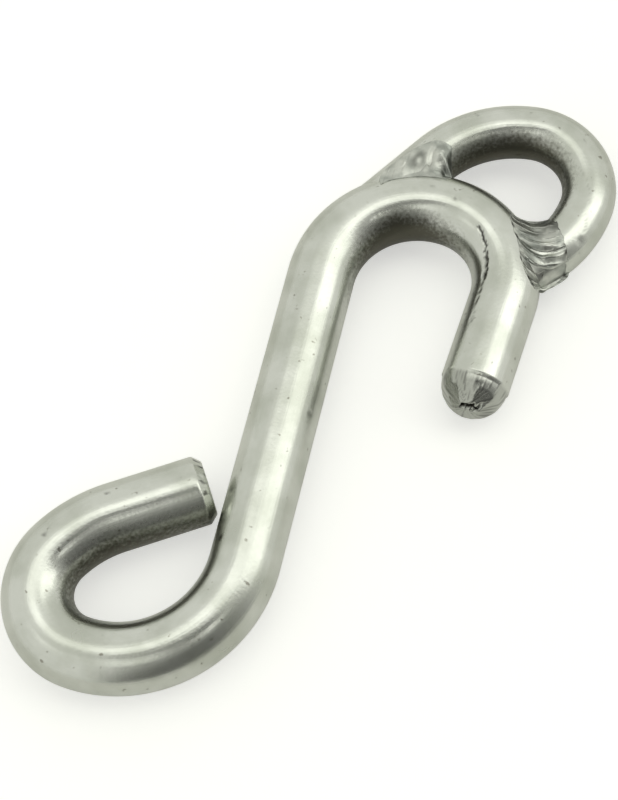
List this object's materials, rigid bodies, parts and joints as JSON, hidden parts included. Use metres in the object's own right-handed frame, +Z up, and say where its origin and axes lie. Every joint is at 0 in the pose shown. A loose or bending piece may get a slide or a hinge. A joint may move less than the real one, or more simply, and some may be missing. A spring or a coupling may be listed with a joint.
{
  "type": "halyard hook",
  "caption": "Open hook bent from round stainless bar with a rolled eye at the foot and a smaller bar bow welded to the back of its crown, for clipping a halyard or line.",
  "frame": {"origin": "middle of the whole outline in X and Y, on the flat it lies on", "axes": "+Y along the shank from the eye to the crown and bow, +X from the shank to the free leg, +Z up through the thickness of the bars as it lies flat"},
  "size_m": [0.0578, 0.0814, 0.008],
  "materials": {
    "stainless_bar": "tumbled satin, lightly scratched",
    "weld_metal": "rippled weld bead, tumbled after welding"
  },
  "bodies": {
    "root": {"hook_bar": "stainless_bar", "bow": "stainless_bar", "left_weld": "weld_metal", "right_weld": "weld_metal"}
  },
  "joints": []
}
